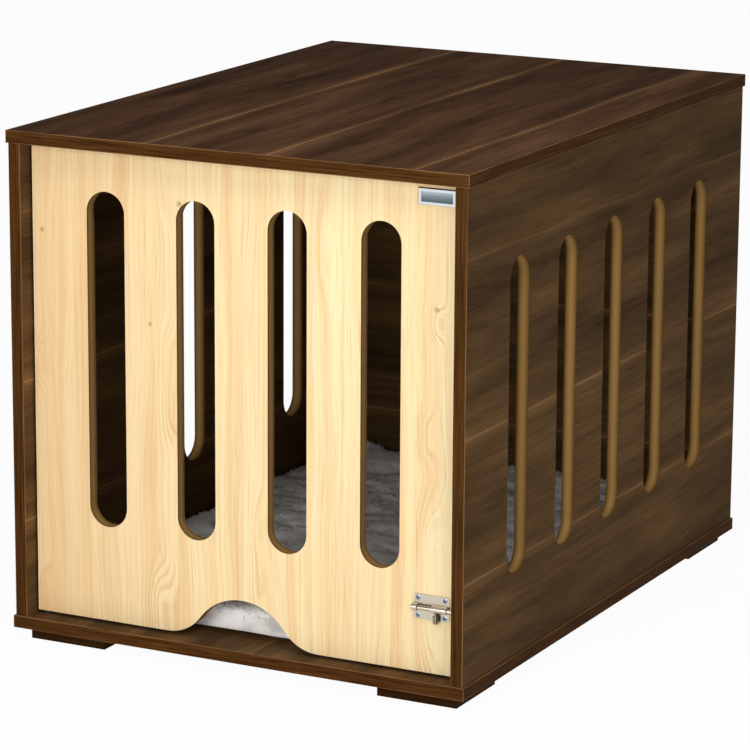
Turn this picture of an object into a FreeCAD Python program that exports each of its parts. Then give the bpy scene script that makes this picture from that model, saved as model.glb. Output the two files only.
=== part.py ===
import FreeCAD, Part
import os
from math import sqrt

# Dog crate end table: a cabinet of 15 mm laminated boards with slotted sides, a slotted door
# that swings on hidden pivot pins, a small barrel bolt, corner feet and a loose floor cushion.
# Millimetres. +Z is up, the door faces -Y, and the origin is at the middle of the footprint,
# on the floor.

# ---------------------------------------------------------------- overall sizes
overall_width = 590.0
overall_depth = 800.0
overall_height = 610.0
board = 15.0                    # thickness of every board
band = 1.0                      # thickness of the strip glued to each board edge
arris = 0.6                     # rounding along the outer edges of those strips

# ---------------------------------------------------------------- feet
foot_height = 15.0
foot_length = 100.0             # a foot is square in plan
foot_inset_side = 15.5
foot_inset_front = 15.0
foot_inset_back = 10.0

# ---------------------------------------------------------------- side and back panels
side_setback = 2.5              # the top stands this far past the outer side faces
front_setback = 1.5             # and this far past the side panels' front edges
back_setback = 1.0
side_slot_count = 5
side_slot_width = 52.0
side_slot_end_margin = 98.25    # from the panel's top and bottom edges to a slot's ends
side_slot_edge_margin = 137.75  # from the panel's front and back edges to the outer slots

# ---------------------------------------------------------------- door
door_recess = 22.5              # from the front of the top to the door's face
door_gap_hinge = 3.5
door_gap_latch = 2.0
door_gap_top = 3.0
door_gap_bottom = 4.0
door_slot_count = 4
door_slot_width = 50.0
door_slot_edge_margin = 97.75
door_slot_top_margin = 47.0
door_slot_bottom_margin = 114.0
scallop_half_width = 98.5
scallop_height = 50.0
scallop_dome_radius = 68.0

# ---------------------------------------------------------------- door pivots
pin_radius = 3.0
pin_running_gap = 0.05
pin_in_board = 8.0
pin_in_door = 16.0
bush_radius = 4.5
bush_length = 18.0
pivot_corner_gap = 0.8          # door corner to side panel as the door turns
washer_radius = 7.0
washer_gap = 0.3

# ---------------------------------------------------------------- barrel bolt on the door
bolt_plate_width = 44.5
bolt_plate_height = 29.0
bolt_plate_thickness = 1.2
bolt_from_door_edge = 9.2
bolt_above_door_bottom = 76.8
bolt_screw_size = (11.0, 2.9, 0.5, 1.3)     # length, head radius, dome height, shank radius
bolt_screw_spacing_x = 33.6
bolt_screw_spacing_z = 20.5
bolt_rod_radius = 2.75
bolt_rod_tail = 1.2             # the rod's tail past the plate, when drawn back
bolt_rod_tip_setback = 1.0      # the tip inside the door's edge, when drawn back
bolt_axis_height = 5.2          # from the door's face to the rod's axis
bolt_travel = 8.0
bolt_slide_gap = 0.06
saddle_wall = 1.0
short_saddle_length = 6.5
long_saddle_length = 19.0
long_saddle_from_end = 1.3
knob_from_plate_end = 15.3
knob_radius = 3.2
knob_stem_radius = 1.5
knob_reach = 16.8               # from the rod's axis to the knob's lower end
knob_length = 9.5
keeper_gap = 1.5
keeper_depth = 10.0

# ---------------------------------------------------------------- name badge, left bare
badge_width = 47.0
badge_height = 20.0
badge_thickness = 2.6
badge_border = 4.2
badge_pocket = 1.2
badge_insert = 0.6
badge_from_door_edge = 5.2
badge_from_door_top = 4.5

# ---------------------------------------------------------------- cushion
cushion_side_gap = 3.0
cushion_back_gap = 3.0
cushion_door_gap = 15.0
cushion_rest_gap = 0.3
cushion_corner = 35.0
cushion_pull_in = 3.0           # how far a side draws in between its corners
# each level of the cushion: (height above its underside, how far it is drawn inwards)
cushion_levels = [(0.0, 5.0), (5.0, 1.0), (15.0, 0.0), (26.0, 0.8), (32.0, 3.5),
                  (36.0, 9.0), (39.5, 24.0), (43.0, 70.0), (45.0, 140.0)]

# ---------------------------------------------------------------- hidden fittings
fit_gap = 0.05                  # all round a fitting that is pressed or glued in
dowel_radius = 4.0
dowel_length = 30.0
dowel_in_board = 10.0
dowel_end_room = 0.5
cam_radius = 7.4
cam_thickness = 12.0
cam_depth = 24.0                # from the panel's end to the cam's centre
cam_bolt_thread = 10.5
cam_bolt_radius = 2.5
cam_bolt_head_radius = 3.3
cam_bolt_room = 3.6
side_cam_margin = 68.75         # from a side panel's front and back edges to the outer cams
back_cam_margin = 97.5          # from the back panel's side edges to its cams
side_dowel_margin = 128.75
back_dowel_margin = 47.5
frame_screw_length = 50.0
frame_screw_head = 5.0
frame_screw_shoulder = 3.5
frame_screw_thread = 2.5
side_frame_screw_margin = 158.75
back_frame_screw_margin = 177.5
foot_screw_length = 24.0
foot_screw_head = 4.0
foot_screw_shank = 2.0
foot_screw_recess = 0.8
foot_screw_offset = 25.0
stop_width = 15.0
stop_depth = 14.0
stop_height = 60.0
stop_gap = 0.3
stop_screw_size = (14.0, 3.2, 0.5, 1.6)     # length, head radius, dome height, shank radius
stop_screw_spacing = 30.0

# ---------------------------------------------------------------- places worked out from the sizes
half_width = overall_width / 2
half_depth = overall_depth / 2
base_z = foot_height
floor_z = base_z + board
top_z = overall_height - board
panel_out_x = half_width - side_setback
panel_in_x = panel_out_x - board
panel_mid_x = panel_out_x - board / 2
panel_front_y = -half_depth + front_setback
panel_back_y = half_depth - back_setback
back_in_y = panel_back_y - board
back_mid_y = panel_back_y - board / 2

door_front_y = -half_depth + door_recess
door_back_y = door_front_y + board
door_left_x = -panel_in_x + door_gap_hinge
door_right_x = panel_in_x - door_gap_latch
door_bottom_z = floor_z + door_gap_bottom
door_top_z = top_z - door_gap_top
door_mid_x = (door_left_x + door_right_x) / 2

turn_room = door_gap_hinge - pivot_corner_gap
pivot_inset = ((board / 2) ** 2 - turn_room ** 2) / (2 * turn_room)
pivot_x = door_left_x + pivot_inset
pivot_y = door_front_y + board / 2

bolt_plate_right_x = door_right_x - bolt_from_door_edge
bolt_plate_left_x = bolt_plate_right_x - bolt_plate_width
bolt_mid_x = (bolt_plate_left_x + bolt_plate_right_x) / 2
bolt_z = door_bottom_z + bolt_above_door_bottom
bolt_y = door_front_y - bolt_axis_height
knob_x = bolt_plate_right_x - knob_from_plate_end


# ---------------------------------------------------------------- helpers
def vec(x, y, z):
    return FreeCAD.Vector(x, y, z)


def block(low, high):
    size = [high[i] - low[i] for i in range(3)]
    return Part.makeBox(size[0], size[1], size[2], vec(*low))


def rod(start, direction, radius, length):
    return Part.makeCylinder(radius, length, vec(*start), vec(*direction))


def rounded_long_edges(shape, axis, keep):
    """Round the edges that run along an axis and that keep() picks by their middle."""
    chosen = []
    for edge in shape.Edges:
        ends = edge.Vertexes
        along = abs(getattr(ends[1].Point.sub(ends[0].Point), axis))
        if abs(along - edge.Length) < 1e-6 and keep(edge.CenterOfMass):
            chosen.append(edge)
    return shape.makeFillet(arris, chosen)


def turned(outline):
    """A solid turned about Z, from (radius, height) points that start and end on the axis."""
    points = [vec(r, 0, z) for r, z in outline]
    face = Part.Face(Part.makePolygon(points + [points[0]]))
    return face.revolve(vec(0, 0, 0), vec(0, 0, 1), 360)


def put(shape, at, direction=(0, 0, 1)):
    """A copy of a shape built along +Z from the origin, pointed another way and moved."""
    copy = shape.copy()
    copy.Placement = FreeCAD.Placement(vec(*at), FreeCAD.Rotation(vec(0, 0, 1), vec(*direction)))
    return copy


def group(solids):
    return Part.makeCompound(solids)


def slot_cutter(across, low, high, width, depth_axis, start, length):
    """A round-ended upright slot, cut through along X or Y."""
    r = width / 2

    def point(side, z):
        if depth_axis == "y":
            return vec(across + side, start, z)
        return vec(start, across + side, z)

    edges = [
        Part.LineSegment(point(-r, low + r), point(-r, high - r)).toShape(),
        Part.Arc(point(-r, high - r), point(0, high), point(r, high - r)).toShape(),
        Part.LineSegment(point(r, high - r), point(r, low + r)).toShape(),
        Part.Arc(point(r, low + r), point(0, low), point(-r, low + r)).toShape(),
    ]
    direction = vec(0, length, 0) if depth_axis == "y" else vec(length, 0, 0)
    return Part.Face(Part.Wire(edges)).extrude(direction)


def spread(first, last, count):
    step = (last - first) / (count - 1)
    return [first + step * i for i in range(count)]


def cross_recess(radius, depth):
    """The cross cut of a screw head, standing on the origin and reaching down."""
    arm = radius * 0.22
    bars = []
    for length_x, length_y in ((radius * 1.2, arm), (arm, radius * 1.2)):
        bars.append(block((-length_x / 2, -length_y / 2, -depth), (length_x / 2, length_y / 2, 1)))
    return bars[0].fuse(bars[1])


# ---------------------------------------------------------------- fittings, each built along +Z
def dowel(grow=0.0, room=0.0):
    r = dowel_radius + grow
    low = -dowel_length + dowel_in_board - room
    high = dowel_in_board + room
    chamfer = 0.0 if grow else 1.0
    return turned([(0, low), (r - chamfer, low), (r, low + chamfer),
                   (r, high - chamfer), (r - chamfer, high), (0, high)])


def cam_bolt(grow=0.0):
    """Its thread reaches up from the origin into the top, its head down into the cam."""
    head = cam_bolt_head_radius + grow
    shank = cam_bolt_radius + grow
    low = -cam_depth - 1.5
    return turned([(0, low), (head, low), (head, low + 3), (shank * 0.7, low + 4),
                   (shank * 0.7, low + 8), (shank, low + 9), (shank, cam_bolt_thread),
                   (0, cam_bolt_thread)])


def cam_lock():
    """Its open face is at the origin, and its slot opens towards +X."""
    body = Part.makeCylinder(cam_radius, cam_thickness, vec(0, 0, -cam_thickness))
    room = Part.makeCylinder(cam_bolt_room, cam_radius + 4, vec(-3.5, 0, -board / 2), vec(1, 0, 0))
    return body.cut(room).cut(cross_recess(cam_radius * 0.8, 2.0))


def frame_screw(grow=0.0, room=0.0):
    head = frame_screw_head + grow
    shoulder = frame_screw_shoulder + grow
    thread = frame_screw_thread + grow
    tip = frame_screw_length + room
    shape = turned([(0, 0), (head, 0), (shoulder, 3), (shoulder, board - 2), (thread, board - 1),
                    (thread, tip - 3), (0.4, tip), (0, tip)])
    if grow:
        return shape
    return shape.cut(put(cross_recess(frame_screw_head, 2.0), (0, 0, 0), (0, 0, -1)))


def foot_screw(grow=0.0, room=0.0):
    head = foot_screw_head + grow
    shank = foot_screw_shank + grow
    tip = foot_screw_length + room
    shape = turned([(0, 0), (head, 0), (shank, 2.6), (shank, tip - 3), (0.4, tip), (0, tip)])
    if grow:
        below = Part.makeCylinder(head, foot_screw_recess + 1, vec(0, 0, -foot_screw_recess - 1))
        return shape.fuse(below)
    return shape.cut(put(cross_recess(foot_screw_head, 1.5), (0, 0, 0), (0, 0, -1)))


def small_screw(length, head_radius, dome_height, shank, grow=0.0):
    """A raised countersunk screw: its cone and shank below the origin, a low dome above."""
    head = head_radius + grow
    stem_radius = shank + grow
    cone = head_radius - shank
    stem = turned([(0, -length), (0.3, -length), (stem_radius, -length + 2),
                   (stem_radius, -cone), (head, 0), (0, 0)])
    if grow:
        return stem
    dome_radius = (head_radius ** 2 + dome_height ** 2) / (2 * dome_height)
    dome = Part.makeSphere(dome_radius, vec(0, 0, dome_height - dome_radius))
    dome = dome.common(Part.makeCylinder(head_radius, dome_height))
    recess = put(cross_recess(head_radius, 1.2), (0, 0, dome_height))
    return dome.fuse(stem).removeSplitter().cut(recess)


# ---------------------------------------------------------------- where the fittings go
def side_places(margin, count):
    """Points along the middle of both side panels, evenly spread between their margins."""
    along = spread(panel_front_y + margin, panel_back_y - margin, count)
    return [(side * panel_mid_x, y) for side in (-1, 1) for y in along]


def back_places(margin):
    return [(side * (panel_in_x - margin), back_mid_y) for side in (-1, 1)]


side_cams = side_places(side_cam_margin, 3)
back_cams = back_places(back_cam_margin)
all_dowels = side_places(side_dowel_margin, 2) + back_places(back_dowel_margin)
all_screws = side_places(side_frame_screw_margin, 3) + back_places(back_frame_screw_margin)


def foot_corner(side, end):
    """The middle of a foot: side is -1 left or 1 right, end is -1 front or 1 back."""
    inset = foot_inset_front if end < 0 else foot_inset_back
    return (side * (half_width - foot_inset_side - foot_length / 2),
            end * (half_depth - inset - foot_length / 2))


def foot_screw_places(side, end):
    x, y = foot_corner(side, end)
    return [(x + k * foot_screw_offset, y + k * foot_screw_offset) for k in (-1, 1)]


all_foot_screws = [place for side in (-1, 1) for end in (-1, 1)
                   for place in foot_screw_places(side, end)]


# ---------------------------------------------------------------- cutters shared by the boards
def top_fitting_holes():
    holes = []
    for x, y in side_cams + back_cams:
        holes.append(put(cam_bolt(fit_gap), (x, y, top_z)))
        holes.append(rod((x, y, top_z - cam_depth - 6), (0, 0, 1), cam_bolt_room, cam_depth + 6))
    for x, y in all_dowels:
        holes.append(put(dowel(fit_gap, dowel_end_room), (x, y, top_z)))
    return holes


def base_fitting_holes():
    holes = [put(frame_screw(fit_gap, 1.0), (x, y, base_z)) for x, y in all_screws]
    for x, y in all_dowels:
        holes.append(put(dowel(fit_gap, dowel_end_room), (x, y, floor_z), (0, 0, -1)))
    return holes


def foot_fitting_holes():
    return [put(foot_screw(fit_gap, 0.5), (x, y, foot_screw_recess)) for x, y in all_foot_screws]


# ---------------------------------------------------------------- boards
def flat_board(low_z, high_z):
    return block((-half_width + band, -half_depth + band, low_z),
                 (half_width - band, half_depth - band, high_z))


def top_board():
    shape = flat_board(top_z, overall_height)
    pin_hole = rod((pivot_x, pivot_y, top_z), (0, 0, 1), pin_radius + fit_gap, pin_in_board)
    return shape.cut(top_fitting_holes() + [pin_hole])


def base_board():
    shape = flat_board(base_z, floor_z)
    pin_hole = rod((pivot_x, pivot_y, floor_z - pin_in_board), (0, 0, 1),
                   pin_radius + fit_gap, pin_in_board)
    return shape.cut(base_fitting_holes() + foot_fitting_holes() + [pin_hole])


def ring_bands(low_z, high_z):
    """Four strips round a board, the front and back ones running right across."""
    strips = []
    for end in (-1, 1):
        y = sorted((end * half_depth, end * (half_depth - band)))
        strip = block((-half_width, y[0], low_z), (half_width, y[1], high_z))
        strips.append(rounded_long_edges(strip, "x", lambda c: abs(c.y) > half_depth - band / 2))
    for side in (-1, 1):
        x = sorted((side * half_width, side * (half_width - band)))
        strip = block((x[0], -half_depth + band, low_z), (x[1], half_depth - band, high_z))
        strips.append(rounded_long_edges(strip, "y", lambda c: abs(c.x) > half_width - band / 2))
    return group(strips)


def side_slot_places():
    first = panel_front_y + side_slot_edge_margin
    last = panel_back_y - side_slot_edge_margin
    return spread(first, last, side_slot_count)


def side_panel(side):
    x = sorted((side * panel_in_x, side * panel_out_x))
    shape = block((x[0], panel_front_y + band, floor_z), (x[1], panel_back_y - band, top_z))
    cutters = top_fitting_holes() + base_fitting_holes()
    for y in side_slot_places():
        cutters.append(slot_cutter(y, floor_z + side_slot_end_margin, top_z - side_slot_end_margin,
                                   side_slot_width, "x", x[0] - 1, board + 2))
    for cam_x, cam_y in side_cams:
        if cam_x * side > 0:
            cutters.append(rod((side * panel_in_x, cam_y, top_z - cam_depth), (side, 0, 0),
                               cam_radius + fit_gap, cam_thickness + fit_gap))
    if side > 0:
        cutters.append(rod((panel_in_x, bolt_y, bolt_z), (1, 0, 0),
                           bolt_rod_radius + keeper_gap, keeper_depth))
        cutters += [put(small_screw(*stop_screw_size, grow=fit_gap), place, (-1, 0, 0))
                    for place in stop_screw_places()]
    return shape.cut(cutters)


def side_panel_bands(side):
    x = sorted((side * panel_in_x, side * panel_out_x))
    strips = []
    for y in ((panel_front_y, panel_front_y + band), (panel_back_y - band, panel_back_y)):
        outer_y = y[0] if y[0] == panel_front_y else y[1]
        strip = block((x[0], y[0], floor_z), (x[1], y[1], top_z))
        strips.append(rounded_long_edges(strip, "z",
                                         lambda c, at=outer_y: abs(c.y - at) < band / 2))
    return group(strips)


def back_panel():
    shape = block((-panel_in_x, back_in_y, floor_z), (panel_in_x, panel_back_y, top_z))
    cutters = top_fitting_holes() + base_fitting_holes()
    for x, y in back_cams:
        cutters.append(rod((x, back_in_y, top_z - cam_depth), (0, 1, 0),
                           cam_radius + fit_gap, cam_thickness + fit_gap))
    return shape.cut(cutters)


# ---------------------------------------------------------------- door
def door_outline():
    """The door's edge, with the bell-shaped cut-out in the middle of its bottom edge."""
    left = door_left_x + band
    right = door_right_x - band
    top = door_top_z - band
    flare_radius = ((scallop_half_width ** 2 + scallop_height ** 2) / (2 * scallop_height)
                    - scallop_dome_radius)
    dome_z = door_bottom_z + scallop_height - scallop_dome_radius
    flare_z = door_bottom_z + flare_radius
    share = scallop_dome_radius / (scallop_dome_radius + flare_radius)

    def edge_point(x, z):
        return vec(door_mid_x + x, door_front_y, z)

    def meeting(side):
        return edge_point(side * scallop_half_width * share, dome_z + (flare_z - dome_z) * share)

    def flare_middle(side):
        start = edge_point(side * scallop_half_width, door_bottom_z)
        half_way = start.add(meeting(side)).multiply(0.5)
        centre = edge_point(side * scallop_half_width, flare_z)
        outward = half_way.sub(centre).normalize()
        return centre.add(outward.multiply(flare_radius))

    corners = [vec(left, door_front_y, door_bottom_z), vec(left, door_front_y, top),
               vec(right, door_front_y, top), vec(right, door_front_y, door_bottom_z)]
    foot_left = edge_point(-scallop_half_width, door_bottom_z)
    foot_right = edge_point(scallop_half_width, door_bottom_z)
    crown = edge_point(0, door_bottom_z + scallop_height)
    return Part.Wire([
        Part.LineSegment(foot_left, corners[0]).toShape(),
        Part.LineSegment(corners[0], corners[1]).toShape(),
        Part.LineSegment(corners[1], corners[2]).toShape(),
        Part.LineSegment(corners[2], corners[3]).toShape(),
        Part.LineSegment(corners[3], foot_right).toShape(),
        Part.Arc(foot_right, flare_middle(1), meeting(1)).toShape(),
        Part.Arc(meeting(1), crown, meeting(-1)).toShape(),
        Part.Arc(meeting(-1), flare_middle(-1), foot_left).toShape(),
    ])


def bush_holes():
    return [rod((pivot_x, pivot_y, door_bottom_z), (0, 0, 1), bush_radius + fit_gap, bush_length),
            rod((pivot_x, pivot_y, door_top_z), (0, 0, -1), bush_radius + fit_gap, bush_length)]


def door_panel():
    shape = Part.Face(door_outline()).extrude(vec(0, board, 0))
    cutters = bush_holes()
    first = door_left_x + door_slot_edge_margin
    last = door_right_x - door_slot_edge_margin
    for x in spread(first, last, door_slot_count):
        cutters.append(slot_cutter(x, door_bottom_z + door_slot_bottom_margin,
                                   door_top_z - door_slot_top_margin,
                                   door_slot_width, "y", door_front_y - 1, board + 2))
    cutters += [put(small_screw(*bolt_screw_size, grow=fit_gap), place, (0, -1, 0))
                for place in bolt_screw_places()]
    return shape.cut(cutters)


def door_edge_bands():
    low_y, high_y = door_front_y, door_back_y
    sides = [(door_left_x, door_left_x + band), (door_right_x - band, door_right_x)]
    strips = [block((x0, low_y, door_bottom_z), (x1, high_y, door_top_z)) for x0, x1 in sides]
    across = block((door_left_x + band, low_y, door_top_z - band),
                   (door_right_x - band, high_y, door_top_z))
    strips.append(across.cut(bush_holes()))
    return group(strips)


# ---------------------------------------------------------------- pivots
def pivot_pin(end):
    """end is -1 for the pin in the base and 1 for the one in the top."""
    if end < 0:
        start, length = floor_z - pin_in_board, pin_in_board + door_gap_bottom + pin_in_door
    else:
        start, length = door_top_z - pin_in_door, pin_in_board + door_gap_top + pin_in_door
    return rod((pivot_x, pivot_y, start), (0, 0, 1), pin_radius, length)


def door_bushes():
    bore = pin_radius + pin_running_gap
    bushes = []
    for z, direction in ((door_bottom_z, 1), (door_top_z, -1)):
        outer = rod((pivot_x, pivot_y, z), (0, 0, direction), bush_radius, bush_length)
        inner = rod((pivot_x, pivot_y, z), (0, 0, direction), bore, bush_length - 1)
        bushes.append(outer.cut(inner))
    return group(bushes)


def pivot_washer():
    height = door_gap_bottom - washer_gap
    outer = rod((pivot_x, pivot_y, floor_z), (0, 0, 1), washer_radius, height)
    return outer.cut(rod((pivot_x, pivot_y, floor_z), (0, 0, 1), pin_radius + fit_gap, height))


# ---------------------------------------------------------------- barrel bolt
def bolt_screw_places():
    y = door_front_y - bolt_plate_thickness
    return [(bolt_mid_x + sx * bolt_screw_spacing_x / 2, y, bolt_z + sz * bolt_screw_spacing_z / 2)
            for sz in (1, -1) for sx in (-1, 1)]


def saddle(start, length):
    """A half tube over the rod, whose legs run down to the plate."""
    bore = bolt_rod_radius + bolt_slide_gap
    outer = bore + saddle_wall
    face = door_front_y - bolt_plate_thickness
    arch = rod((start, bolt_y, bolt_z), (1, 0, 0), outer, length)
    legs = block((start, bolt_y, bolt_z - outer), (start + length, face, bolt_z + outer))
    hollow = rod((start - 1, bolt_y, bolt_z), (1, 0, 0), bore, length + 2)
    throat = block((start - 1, bolt_y, bolt_z - bore), (start + length + 1, face, bolt_z + bore))
    return arch.fuse(legs).cut([hollow, throat])


def bolt_plate():
    low = (bolt_plate_left_x, door_front_y - bolt_plate_thickness, bolt_z - bolt_plate_height / 2)
    high = (bolt_plate_right_x, door_front_y, bolt_z + bolt_plate_height / 2)
    plate = block(low, high)
    corners = [e for e in plate.Edges
               if abs(e.Length - bolt_plate_thickness) < 1e-6]
    plate = plate.makeFillet(2.0, corners)
    long_start = bolt_plate_right_x - long_saddle_from_end - long_saddle_length
    shape = plate.fuse([saddle(bolt_plate_left_x, short_saddle_length),
                        saddle(long_start, long_saddle_length)]).removeSplitter()
    notch_end = knob_x + bolt_travel + knob_stem_radius + 0.5
    reach = bolt_rod_radius + saddle_wall + 1.5
    notch = block((long_start - 1, bolt_y - knob_stem_radius - 0.5, bolt_z - reach),
                  (notch_end, door_front_y - bolt_plate_thickness, bolt_z - bolt_rod_radius / 2))
    holes = [put(small_screw(*bolt_screw_size, grow=fit_gap), place, (0, -1, 0))
             for place in bolt_screw_places()]
    return shape.cut([notch] + holes)


def bolt_rod():
    start = bolt_plate_left_x - bolt_rod_tail
    tip = door_right_x - bolt_rod_tip_setback
    shape = turned([(0, 0), (bolt_rod_radius - 0.4, 0), (bolt_rod_radius, 0.4),
                    (bolt_rod_radius, tip - start - 0.8), (bolt_rod_radius - 0.8, tip - start),
                    (0, tip - start)])
    shape = put(shape, (start, bolt_y, bolt_z), (1, 0, 0))
    return shape.cut(rod((knob_x, bolt_y, bolt_z), (0, 0, -1),
                         knob_stem_radius + fit_gap, bolt_rod_radius + 1))


def bolt_knob():
    """A stem screwed into the rod, and a turned grip at its lower end."""
    top = knob_reach - knob_length
    outline = [(0, 0), (knob_stem_radius, 0), (knob_stem_radius, top),
               (knob_radius - 0.8, top), (knob_radius, top + 0.8),
               (knob_radius, knob_reach - 1.6), (knob_radius - 1.6, knob_reach),
               (0, knob_reach)]
    return put(turned(outline), (knob_x, bolt_y, bolt_z), (0, 0, -1))


def bolt_screws():
    screw = small_screw(*bolt_screw_size)
    return group([put(screw, place, (0, -1, 0)) for place in bolt_screw_places()])


# ---------------------------------------------------------------- bare badge
def badge_box():
    right = door_right_x - badge_from_door_edge
    high = door_top_z - badge_from_door_top
    return (right - badge_width, right, high - badge_height, high)


def badge_bezel():
    x0, x1, z0, z1 = badge_box()
    face = door_front_y - badge_thickness
    shape = block((x0, face, z0), (x1, door_front_y, z1))
    rim = [e for e in shape.Edges if abs(e.CenterOfMass.y - face) < 1e-6]
    shape = shape.makeChamfer(badge_thickness * 0.45, rim)
    pocket = block((x0 + badge_border, face - 1, z0 + badge_border),
                   (x1 - badge_border, face + badge_pocket, z1 - badge_border))
    return shape.cut(pocket)


def badge_plate():
    x0, x1, z0, z1 = badge_box()
    floor = door_front_y - badge_thickness + badge_pocket
    return block((x0 + badge_border, floor - badge_insert, z0 + badge_border),
                 (x1 - badge_border, floor, z1 - badge_border))


# ---------------------------------------------------------------- door stop
def stop_box():
    front = door_back_y + stop_gap
    middle = (door_bottom_z + door_top_z) / 2
    return ((panel_in_x - stop_width, front, middle - stop_height / 2),
            (panel_in_x, front + stop_depth, middle + stop_height / 2))


def stop_screw_places():
    low, high = stop_box()
    y = (low[1] + high[1]) / 2
    middle = (low[2] + high[2]) / 2
    counterbore = stop_width * 0.6
    return [(low[0] + counterbore, y, middle + k * stop_screw_spacing / 2) for k in (-1, 1)]


def door_stop():
    low, high = stop_box()
    shape = block(low, high)
    cutters = []
    for x, y, z in stop_screw_places():
        cutters.append(put(small_screw(*stop_screw_size, grow=fit_gap), (x, y, z), (-1, 0, 0)))
        cutters.append(rod((x, y, z), (-1, 0, 0), stop_screw_size[1] + 0.3, stop_width))
    return shape.cut(cutters)


def door_stop_screws():
    screw = small_screw(*stop_screw_size)
    return group([put(screw, place, (-1, 0, 0)) for place in stop_screw_places()])


# ---------------------------------------------------------------- fittings placed
def cam_locks():
    """Each lock's slot points up, and its open face is flush with the panel's inner face."""
    lock = cam_lock()
    upward = FreeCAD.Rotation(vec(0, 1, 0), -90)
    places = [((panel_in_x if x > 0 else -panel_in_x, y), 0 if x > 0 else 180)
              for x, y in side_cams]
    places += [((x, back_in_y), 90) for x, y in back_cams]
    locks = []
    for (x, y), turn in places:
        copy = lock.copy()
        copy.Placement = FreeCAD.Placement(vec(x, y, top_z - cam_depth),
                                           FreeCAD.Rotation(vec(0, 0, 1), turn) * upward)
        locks.append(copy)
    return group(locks)


def cam_bolts():
    bolt = cam_bolt()
    return group([put(bolt, (x, y, top_z)) for x, y in side_cams + back_cams])


def wood_dowels():
    peg = dowel()
    pegs = [put(peg, (x, y, top_z)) for x, y in all_dowels]
    pegs += [put(peg, (x, y, floor_z), (0, 0, -1)) for x, y in all_dowels]
    return group(pegs)


def frame_screws():
    screw = frame_screw()
    return group([put(screw, (x, y, base_z)) for x, y in all_screws])


def foot(side, end):
    x, y = foot_corner(side, end)
    half = foot_length / 2
    shape = block((x - half, y - half, 0), (x + half, y + half, foot_height))
    holes = [put(foot_screw(fit_gap), (sx, sy, foot_screw_recess))
             for sx, sy in foot_screw_places(side, end)]
    return shape.cut(holes)


def foot_screws():
    screw = foot_screw()
    return group([put(screw, (x, y, foot_screw_recess)) for x, y in all_foot_screws])


# ---------------------------------------------------------------- cushion
def cushion_wire(height, inset):
    """One level of the cushion: four sides that draw in a little, and four round corners."""
    x1 = panel_in_x - cushion_side_gap - inset
    y0 = door_back_y + cushion_door_gap + inset
    y1 = back_in_y - cushion_back_gap - inset
    z = floor_z + cushion_rest_gap + height
    r = cushion_corner
    cut = r * (1 - 1 / sqrt(2))
    mid_y = (y0 + y1) / 2
    pull = cushion_pull_in
    edges = []
    sides = [((-x1 + r, y0), (0, y0 + pull), (x1 - r, y0)),
             ((x1, y0 + r), (x1 - pull, mid_y), (x1, y1 - r)),
             ((x1 - r, y1), (0, y1 - pull), (-x1 + r, y1)),
             ((-x1, y1 - r), (-x1 + pull, mid_y), (-x1, y0 + r))]
    corners = [(x1 - cut, y0 + cut), (x1 - cut, y1 - cut),
               (-x1 + cut, y1 - cut), (-x1 + cut, y0 + cut)]
    for i, (start, middle, end) in enumerate(sides):
        edges.append(Part.Arc(vec(*start, z), vec(*middle, z), vec(*end, z)).toShape())
        following = sides[(i + 1) % 4][0]
        edges.append(Part.Arc(vec(*end, z), vec(*corners[i], z), vec(*following, z)).toShape())
    return Part.Wire(edges)


def cushion():
    wires = [cushion_wire(height, inset) for height, inset in cushion_levels]
    return Part.makeLoft(wires, True, True)


# ---------------------------------------------------------------- every piece, by name
pieces = {
    "top_board": top_board(),
    "top_edge_bands": ring_bands(top_z, overall_height),
    "base_board": base_board(),
    "base_edge_bands": ring_bands(base_z, floor_z),
    "left_side_panel": side_panel(-1),
    "left_panel_edge_bands": side_panel_bands(-1),
    "right_side_panel": side_panel(1),
    "right_panel_edge_bands": side_panel_bands(1),
    "back_panel": back_panel(),
    "front_left_foot": foot(-1, -1),
    "front_right_foot": foot(1, -1),
    "back_left_foot": foot(-1, 1),
    "back_right_foot": foot(1, 1),
    "foot_screws": foot_screws(),
    "frame_screws": frame_screws(),
    "cam_locks": cam_locks(),
    "cam_bolts": cam_bolts(),
    "wood_dowels": wood_dowels(),
    "lower_pivot_pin": pivot_pin(-1),
    "upper_pivot_pin": pivot_pin(1),
    "pivot_washer": pivot_washer(),
    "door_stop": door_stop(),
    "door_stop_screws": door_stop_screws(),
    "door_panel": door_panel(),
    "door_edge_bands": door_edge_bands(),
    "door_bushes": door_bushes(),
    "badge_bezel": badge_bezel(),
    "badge_plate": badge_plate(),
    "bolt_plate": bolt_plate(),
    "bolt_screws": bolt_screws(),
    "bolt_rod": bolt_rod(),
    "bolt_knob": bolt_knob(),
    "cushion": cushion(),
}

os.makedirs("parts", exist_ok=True)
for name, shape in pieces.items():
    shape.exportStep("parts/" + name + ".step")
    print(name, "solids", len(shape.Solids), "valid", shape.isValid(),
          "volume", round(shape.Volume))
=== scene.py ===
# %% [markdown]
# # A dog crate that is also an end table
# The real thing is flat-pack furniture: 15 mm fibreboard with a printed walnut or maple paper
# pressed on both faces and a thin strip glued along each cut edge. The CAD nodes already have
# these shapes in millimetres, so the boards stay as they are and get their finish here. Blender
# makes what CAD can't: the wood figure, the plush cushion and the bright small metal. Every
# length in this file is written in millimetres and turned to metres by one constant.

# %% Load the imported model
import math

import bmesh
import bpy
import numpy as np
from mathutils import Matrix, Vector, noise


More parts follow.
